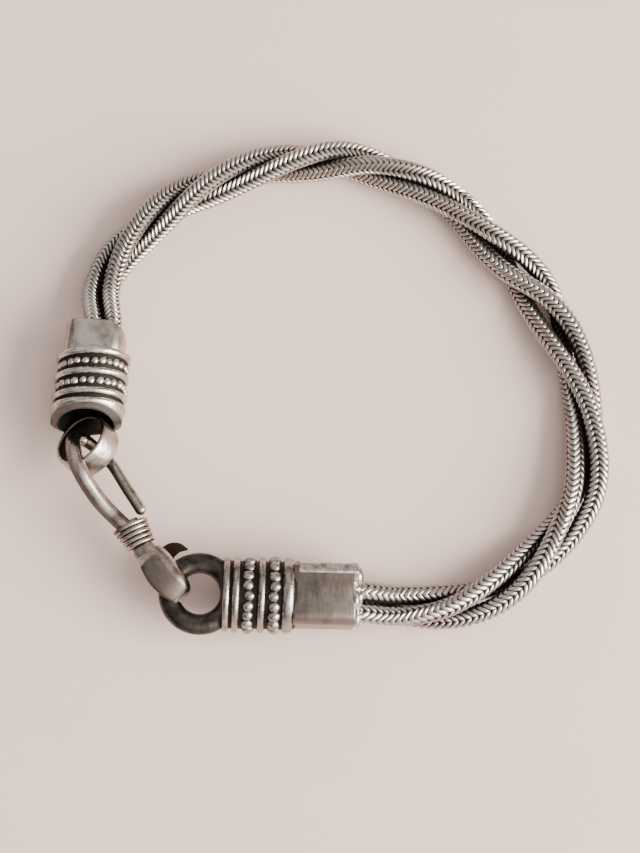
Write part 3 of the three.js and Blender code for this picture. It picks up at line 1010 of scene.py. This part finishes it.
class BRACELET_OT_ring_cap(bpy.types.Operator):
    """Turn, bead and solder the longer end cap with its heavy ring"""

    bl_idname = "bracelet.ring_cap"
    bl_label = "Ring end cap"

    def execute(self, context):
        cap = RING_CAP
        silver = oxidised_silver(
            "ring_cap_silver", silver=(0.38, 0.34, 0.31), oxide=(0.02, 0.017, 0.014),
            patina=(0.12, 0.1, 0.088), patina_amount=0.8, patina_scale=600, grain=0.55,
            wear_low=0.12,
        )
        bare = oxidised_silver(
            "ring_collar_silver", silver=(0.215, 0.176, 0.15), wear_low=-0.2,
            wear_high=0.9, patina=(0.1, 0.078, 0.064), patina_amount=0.75,
            patina_scale=420, rough_worn=0.3, grain=0.8, grain_scale=1400,
            streaks=(1.0, 0.22, 0.5),
        )
        dark = oxidised_silver(
            "ring_dark_silver", silver=(0.085, 0.073, 0.063), wear_low=0.0,
            wear_high=1.1, patina=(0.012, 0.01, 0.009), patina_amount=1.0,
            patina_scale=600, rough_worn=0.24, grain=0.6, grain_scale=1200,
        )
        solder = oxidised_silver(
            "solder_silver", silver=(0.62, 0.56, 0.51), patina=(0.1, 0.085, 0.07),
            patina_amount=0.9, patina_scale=900, wear_low=0.1, wear_high=0.7,
            rough_worn=0.25, grain=0.6,
        )
        hand_over_cap(barrel(cap), cap, silver)
        hand_over_cap(granules(cap), cap, silver)
        hand_over_cap(collar(cap), cap, bare)
        hand_over_cap(self.seam(cap), cap, solder)
        hand_over_cap(self.solder(cap), cap, solder)
        hand_over_cap(self.ring(), cap, dark)
        return {"FINISHED"}

    def seam(self, cap):
        """The overlapping seam along the collar's upper left edge."""
        length = (cap["collar"] + SEAM_OVERRUN) * MM
        piece = box("ring_cap_seam", (length, SEAM_WIDTH * MM, SEAM_HEIGHT * MM))
        rounded(piece, 0.3, 4)
        corner = cap["collar_width"] / 2
        middle = cap["length"] + cap["collar"] / 2 + 0.25
        spot = Vector((middle, corner - SEAM_SINK[0], corner - SEAM_SINK[1])) * MM
        settle(piece, Matrix.Translation(spot) @ rotation(SEAM_TURN, "X"))
        surface(piece, 0.8, 50)
        return piece

    def solder(self, cap):
        """Lumps of solder in a fan over the top of the collar's bore."""
        end = cap["length"] + cap["collar"]
        draw = random.Random(5).uniform
        blobs = []
        for i in range(SOLDER_COUNT):
            fan = SOLDER_FAN * (2 * i / (SOLDER_COUNT - 1) - 1)
            angle = math.radians(fan + draw(*SOLDER_SWAY))
            reach = cap["bore_radius"] + draw(*SOLDER_REACH)
            along = end + draw(*SOLDER_ALONG)
            up = reach * math.cos(angle) - SOLDER_DROP
            spot = (along, reach * math.sin(angle), up)
            blobs.append((spot, draw(*SOLDER_SIZE), draw(*SOLDER_FLAT)))
        along, aside, up = SEAM_LUMP
        blobs.append(((cap["length"] + along, aside, up), 1.3, 0.8))
        return lumps("ring_cap_solder", blobs, 11)

    def ring(self):
        """The heavy ring in the cap's mouth."""
        clear_selection()
        bpy.ops.mesh.primitive_torus_add(
            major_radius=RING_RADIUS * MM,
            minor_radius=RING_WIRE_RADIUS * MM,
            major_segments=72,
            minor_segments=20,
            location=Vector(RING_SPOT) * MM,
        )
        bpy.context.object.scale = (1, 1, RING_FLAT)
        piece = fresh("ring_cap_ring")
        surface(piece, 0.75, 80)
        return join([piece], "ring_cap_ring")


# Hook


def loft(name, sections, profile):
    """A closed shape through sections: centre, side, up, half width, half height."""
    clear_selection()
    bpy.ops.mesh.primitive_circle_add(vertices=len(profile), radius=0.001)
    piece = bpy.context.object
    piece.name = name
    edit_all()

    def lay(section):
        centre, side, up, width, height = section
        bm = bmesh.from_edit_mesh(piece.data)
        ring = [v for v in bm.verts if v.select]
        ring.sort(key=lambda v: v.index)
        for vertex, (x, y) in zip(ring, profile):
            vertex.co = centre + side * (x * width) + up * (y * height)
        bmesh.update_edit_mesh(piece.data)

    lay(sections[0])
    for section in sections[1:]:
        bpy.ops.mesh.extrude_region_move()
        lay(section)
    bpy.ops.mesh.select_all(action="DESELECT")
    bpy.ops.mesh.select_mode(type="EDGE")
    bpy.ops.mesh.select_non_manifold()
    bpy.ops.mesh.edge_face_add()
    bpy.ops.mesh.select_mode(type="VERT")
    bpy.ops.mesh.select_all(action="SELECT")
    close_edit()
    return piece


def rounded_profile(sides, power):
    """A rounded section that is squarer the smaller its power."""
    profile = []
    for i in range(sides):
        angle = 2 * math.pi * i / sides
        c, s = math.cos(angle), math.sin(angle)
        x = math.copysign(abs(c) ** power, c)
        profile.append((x, math.copysign(abs(s) ** power, s)))
    return profile


# Section of the hook's band: domed on top, bevelled toward its left, flat below.
BAND_PROFILE = [
    (1.0, 0.2), (0.98, 0.6), (0.92, 0.82), (0.8, 0.93), (0.5, 0.98), (0.1, 1.0),
    (-0.3, 0.97), (-0.48, 0.86), (-0.66, 0.6), (-0.82, 0.2), (-0.94, -0.35),
    (-1.0, -0.8), (-0.95, -1.0), (0.93, -1.0), (1.0, -0.8),
]

# Line of the hook from its loop, the way across it, and the eye's share, bow and rise.
HOOK_LOOP = Vector((-30.9283, -3.1524, 0))
SPAN = Vector((15.3315, -19.997, 0))
SPAN_SIDE = Vector((-0.7936, -0.6084, 0))
SHANK_HEIGHT = 6.244
EYE = [
    (0.57, 2.15, 0), (0.5, 2.4, 0), (0.42, 2.75, 0.25), (0.3, 3.1, 1.1),
    (0.13, 2.75, 2.45), (0.02, 1.8, 1.75), (-0.045, 0.7, -0.7), (-0.02, -0.2, -2.1),
    (0.06, -0.8, -2.3), (0.17, -1.1, -1.7), (0.33, -0.75, -0.85), (0.44, -0.55, -0.3),
    (0.495, -0.4, -0.15),
]

# Shank inside and behind the binding: point, heading of its width, width and thickness.
SHANK = [
    ((-24.95, -13.85, 6.0), -150.9, 2.6, 1.5),
    ((-24.3, -15.1, 6.2), -150.9, 3.0, 1.9),
    ((-23.1, -17.0, 6.3), -150.9, 2.7, 2.1),
    ((-22.75, -17.6, 6.45), -150, 3.0, 2.4),
    ((-22.35, -18.2, 6.5), -148, 2.9, 2.2),
    ((-21.7, -19.0, 6.5), -146, 2.4, 1.6),
]

# Band of the hook: point, heading of its width, width and thickness, in millimetres.
BAND = [
    ((-22.2, -17.95, 7.1), -150, 3.5, 1.3),
    ((-21.2, -19.3, 7.25), -143, 4.2, 1.3),
    ((-20.15, -20.85, 7.3), -138, 4.4, 1.3),
    ((-18.85, -22.2, 7.15), -134, 4.1, 1.2),
    ((-17.95, -22.95, 6.6), -132, 3.6, 1.1),
    ((-17.65, -23.15, 5.5), -131, 3.1, 1.0),
    ((-17.8, -22.85, 4.3), -131, 2.8, 0.95),
    ((-18.4, -22.0, 3.654), -133, 2.7, 0.95),
    ((-19.65, -20.5, 3.654), -133, 2.5, 0.95),
    ((-20.4, -18.8, 3.654), -170, 2.3, 0.95),
    ((-19.7, -17.5, 3.75), -223, 2.1, 0.95),
    ((-18.6, -17.0, 4.0), -251, 1.5, 0.8),
    ((-17.3, -17.2, 4.2), -263, 0.25, 0.4),
]


def swept(name, rows, count, profile):
    """A loft through a table of points, headings, widths and thicknesses."""
    route = Route([row[0] for row in rows], samples=900)
    table = [(i / (len(rows) - 1), *row[1:]) for i, row in enumerate(rows)]
    sections = []
    for i in range(count + 1):
        t = i / count
        ahead = route.raw(min(t + 1e-3, 1)) - route.raw(max(t - 1e-3, 0))
        ahead.normalize()
        heading = math.radians(table_value(table, 1, t))
        side = Vector((math.cos(heading), math.sin(heading), 0))
        side = (side - ahead * side.dot(ahead)).normalized()
        width = table_value(table, 2, t) / 2 * MM
        height = table_value(table, 3, t) / 2 * MM
        place = (route.raw(t) + SHIFT) * MM
        sections.append((place, side, side.cross(ahead), width, height))
    return loft(name, sections, profile)


def span_point(share, bow, rise):
    point = HOOK_LOOP + SPAN * share + SPAN_SIDE * bow
    point.z = SHANK_HEIGHT + rise
    return point


# Eye: where its wire thins and by how much, its rounded tip, the way toward which it is
# painted lighter as painted light and shade, and where its darker end begins.
EYE_STEPS = 90
EYE_THINS = (0.35, 0.75)
EYE_THINNING = 0.3
EYE_TIP_STEPS = 4
EYE_PAINTED_LIGHT_WAY = Vector((0.72, 0.5, 0.48)).normalized()
EYE_COILED = 0.72

# Band: its start and bend, the ways along and across it, and the tongue's height, below
# which the tongue gets painted shade.
BAND_START = (Vector((-22.2, -17.95, 0)) + SHIFT) * MM
BAND_BEND = (Vector((-18.0, -22.3, 0)) + SHIFT) * MM
BAND_ASIDE = Vector((0.744, 0.668))
BAND_ALONG = Vector((0.668, -0.744))
BAND_TOP = 6.9 * MM
TONGUE_TOP = 5.2 * MM

# Binding: its first and last middle, its heading, and its widths and height inside.
COIL_START = Vector((-24.72, -14.3, 6.2))
COIL_END = Vector((-23.2, -16.85, 6.3))
COIL_HEADING = math.radians(-150.885)
COIL_WIDTHS = (3.75, 2.75)
COIL_HEIGHT = 2.3
COIL_STEPS = 28


class BRACELET_OT_hook(bpy.types.Operator):
    """Bend the hook's eye, band and tongue, and wind its binding"""

    bl_idname = "bracelet.hook"
    bl_label = "Hook and binding"

    def execute(self, context):
        # Its oxide is also the colour of the painted shade on the eye's lower left side
        # and on the band's tongue.
        silver = oxidised_silver(
            "hook_silver", silver=(0.44, 0.378, 0.328), oxide=(0.03, 0.021, 0.016),
            wear_low=0.05, wear_high=0.85, patina=(0.1, 0.068, 0.05), patina_amount=0.9,
            patina_scale=420, rough_worn=0.26, grain=0.35, grain_scale=1600,
        )
        hand_over(self.eye(), "hook", silver)
        shank = swept("hook_shank", SHANK, 30, rounded_profile(20, 0.8))
        surface(shank, 0.5, 50)
        hand_over(shank, "hook", silver)
        hand_over(self.band(), "hook", silver)
        hand_over(self.binding(), "hook_binding", silver)
        return {"FINISHED"}

    def eye(self):
        """The eye's round wire, thinner where it comes back to the binding."""
        route = Route([span_point(*row) for row in EYE], samples=800)
        places, factors = [], []
        for i in range(EYE_STEPS + 1):
            t = i / EYE_STEPS
            places.append((route.raw(t) + SHIFT) * MM)
            tip = min((1 - t) * EYE_STEPS / EYE_TIP_STEPS, 1.0)
            round_tip = math.sqrt(max(1 - (1 - tip) ** 2, 0.05))
            factors.append((1 - EYE_THINNING * eased(t, *EYE_THINS)) * round_tip)
        eye = wire_mesh("hook_eye", places, hook_sizes().wire / 2, 5, factors)

        # Painted light and shade: each point is lighter the more it faces the upper
        # right and above, and darker toward the lower left; the end by the binding is
        # darker overall with more contrast.
        def worn(co):
            steps = range(EYE_STEPS + 1)
            near = min(steps, key=lambda i: (places[i] - co).length_squared)
            off = (co - places[near]).normalized().dot(EYE_PAINTED_LIGHT_WAY)
            if near > EYE_COILED * EYE_STEPS:
                return 0.32 + 0.7 * off
            return 0.55 + 0.45 * off

        surface(eye, worn, 60)
        return eye

    def band(self):
        """The domed band, bent down through the ring, and its pointed tongue."""
        band = swept("hook_band", BAND, 90, BAND_PROFILE)

        # Painted shade on the tongue under the ring; elsewhere the band is lighter
        # toward one long edge, at its start and where it bends down.
        def worn(co):
            if co.z < TONGUE_TOP and co.y > BAND_BEND.y + 1.2 * MM:
                return 0.05
            aside = (co - BAND_START).xy.dot(BAND_ASIDE) / MM
            along = (co - BAND_START).xy.dot(BAND_ALONG) / MM
            tone = 0.3 + 0.6 * min(max((aside - 0.3) / 0.9, 0), 1)
            if along < 0.7:
                tone = max(tone, 0.95)
            return max(tone, 0.8) if co.z < BAND_TOP else tone

        surface(band, worn, 38)
        return band

    def binding(self):
        """The wire wound round the shank."""
        sizes = hook_sizes()
        side = Vector((math.cos(COIL_HEADING), math.sin(COIL_HEADING), 0))
        first, last = COIL_WIDTHS
        off = sizes.binding / MM / 2 - 0.05
        height = COIL_HEIGHT / 2 + off
        count = int(sizes.turns * COIL_STEPS)
        points = []
        for i in range(count + 1):
            t = i / count
            angle = 2 * math.pi * sizes.turns * t
            width = (first + (last - first) * t) / 2 + off
            point = COIL_START.lerp(COIL_END, t) + side * (width * math.cos(angle))
            point.z += height * math.sin(angle)
            points.append((point + SHIFT) * MM)
        coil = wire_mesh("hook_binding_wire", points, sizes.binding / 2, 3)
        middle = (COIL_START.lerp(COIL_END, 0.5) + SHIFT) * MM

        def worn(co):
            off = co - middle
            return (math.hypot(off.dot(side) / 1.6, off.z / 1.3) / MM - 0.8) / 0.45

        surface(coil, worn, 60)
        return coil


# Stage

FLOOR_SIZE = 3.0
FLOOR_DROP = 0.02 * MM
FLOOR_TONES = (0.97, 1.03)

# Lights: name, place, size, power and colour.
LIGHTS = [
    ("window", (0.52, -0.17, 0.3), 0.5, 16.0, (1.0, 0.955, 0.91)),
    ("far_wall", (-0.1, 0.5, 0.5), 0.9, 2.2, (1.0, 0.95, 0.92)),
    ("bounce", (-0.5, 0.05, 0.4), 0.5, 0.6, (0.93, 0.96, 1.0)),
]

# Room light: a direction, the reach over which it rises toward it, and its factors.
ROOM_STRENGTH = 0.62
ROOM_TINT = (1.0, 0.97, 0.945)
ROOM_WINDOW = ((0.77, -0.55, 0.32), (0.0, 0.97, 0.3, 3.0))
ROOM_ABOVE = ((0, -0.19, 0.98), (0.6, 0.95, 1.0, 1.6))

# The photo's camera: degrees from straight down, metres away, focal length in pixels.
CAMERA_TILT = 11
CAMERA_AWAY = 0.3
FOCAL_PIXELS = 2239
PHOTO_HEIGHT = 853
SENSOR = 36


class BRACELET_OT_stage(bpy.types.Operator):
    """Lay the pale floor, the soft lights and the camera"""

    bl_idname = "bracelet.stage"
    bl_label = "Studio and camera"

    def execute(self, context):
        scene = context.scene
        self.floor()
        world = bpy.data.worlds.new("soft_room")
        scene.world = world
        world.use_nodes = True
        self.room(world.node_tree)
        for row in LIGHTS:
            self.light(*row)
        tilt = math.radians(CAMERA_TILT)
        back = Vector((0, -math.sin(tilt), math.cos(tilt))) * CAMERA_AWAY
        bpy.ops.object.camera_add(location=SHIFT * MM + back, rotation=(tilt, 0, 0))
        camera = bpy.context.object
        camera.data.lens = SENSOR * FOCAL_PIXELS / PHOTO_HEIGHT
        camera.data.sensor_width = SENSOR
        camera.data.clip_start = 0.01
        scene.camera = camera
        return {"FINISHED"}

    def floor(self):
        """The pale floor of slightly uneven tone."""
        clear_selection()
        spot = (0, 0, -FLOOR_DROP)
        bpy.ops.mesh.primitive_plane_add(size=FLOOR_SIZE, location=spot)
        floor = bpy.context.object
        floor.name = "pale_floor"
        paper = bpy.data.materials.new("pale_paper")
        paper.use_nodes = True
        tree = paper.node_tree
        shader = tree.nodes["Principled BSDF"]
        shader.inputs["Roughness"].default_value = 0.85
        grain = noise(tree, 60.0, 6.0)
        place = node(tree, "ShaderNodeTexCoord")
        tones = [[min(1, c * tone) for c in finish().floor] for tone in FLOOR_TONES]
        tint = blend(tree, *tones)
        rows = [
            (place, "Object", grain, "Vector"),
            (grain, "Fac", tint, "Factor"),
            (tint, "Result", shader, "Base Color"),
        ]
        connect(tree, rows)
        floor.data.materials.append(paper)

    def room(self, tree):
        """Soft room light, brightest at the near right and above."""
        sky = tree.nodes["Background"]
        sky.inputs["Strength"].default_value = ROOM_STRENGTH
        place = node(tree, "ShaderNodeTexCoord")
        both = node(tree, "ShaderNodeMath", operation="MULTIPLY")
        for socket, (way, spans) in enumerate([ROOM_WINDOW, ROOM_ABOVE]):
            toward = node(tree, "ShaderNodeVectorMath", operation="DOT_PRODUCT")
            toward.inputs[1].default_value = Vector(way).normalized()
            glow = ranged(tree, *spans, way="SMOOTHSTEP")
            rows = [
                (place, "Generated", toward, 0),
                (toward, "Value", glow, "Value"),
                (glow, "Result", both, socket),
            ]
            connect(tree, rows)
        tint = node(tree, "ShaderNodeVectorMath", operation="SCALE")
        tint.inputs[0].default_value = ROOM_TINT
        connect(tree, [(both, 0, tint, "Scale"), (tint, "Vector", sky, "Color")])

    def light(self, name, place, size, power, colour):
        bpy.ops.object.light_add(type="AREA", location=place)
        lamp = bpy.context.object
        lamp.name = name
        lamp.data.size = size
        lamp.data.energy = power
        lamp.data.color = colour
        aim = (-Vector(place)).to_track_quat("-Z", "Y")
        lamp.rotation_euler = aim.to_euler()


class BRACELET_PT_panel(bpy.types.Panel):
    """Sizes, colours and building steps of the bracelet"""

    bl_idname = "BRACELET_PT_panel"
    bl_label = "Bracelet"
    bl_space_type = "VIEW_3D"
    bl_region_type = "UI"
    bl_category = "Bracelet"

    def draw(self, context):
        layout = self.layout
        scene = context.scene
        for title, group in PROPERTY_GROUPS.items():
            box = layout.box()
            box.label(text=title.replace("_", " ").capitalize())
            settings = getattr(scene, title)
            for key in group.__annotations__:
                box.prop(settings, key)
        for step in STEPS:
            layout.operator(step.bl_idname, text=step.bl_label)


PROPERTY_GROUPS = {
    "bracelet_strands": BraceletStrands,
    "bracelet_caps": BraceletCaps,
    "bracelet_hook": BraceletHook,
    "bracelet_finish": BraceletFinish,
}
STEPS = [
    BRACELET_OT_stage,
    BRACELET_OT_strands,
    BRACELET_OT_hook_cap,
    BRACELET_OT_ring_cap,
    BRACELET_OT_hook,
]
CLASSES = [*PROPERTY_GROUPS.values(), *STEPS, BRACELET_PT_panel]


def register():
    for kind in CLASSES:
        bpy.utils.register_class(kind)
    for title, group in PROPERTY_GROUPS.items():
        setattr(bpy.types.Scene, title, PointerProperty(type=group))


def unregister():
    for title in PROPERTY_GROUPS:
        delattr(bpy.types.Scene, title)
    for kind in reversed(CLASSES):
        bpy.utils.unregister_class(kind)


def main():
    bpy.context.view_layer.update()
    register()
    bpy.ops.bracelet.stage()
    bpy.ops.bracelet.strands()
    bpy.ops.bracelet.hook_cap()
    bpy.ops.bracelet.ring_cap()
    bpy.ops.bracelet.hook()


if __name__ == "__main__":
    main()
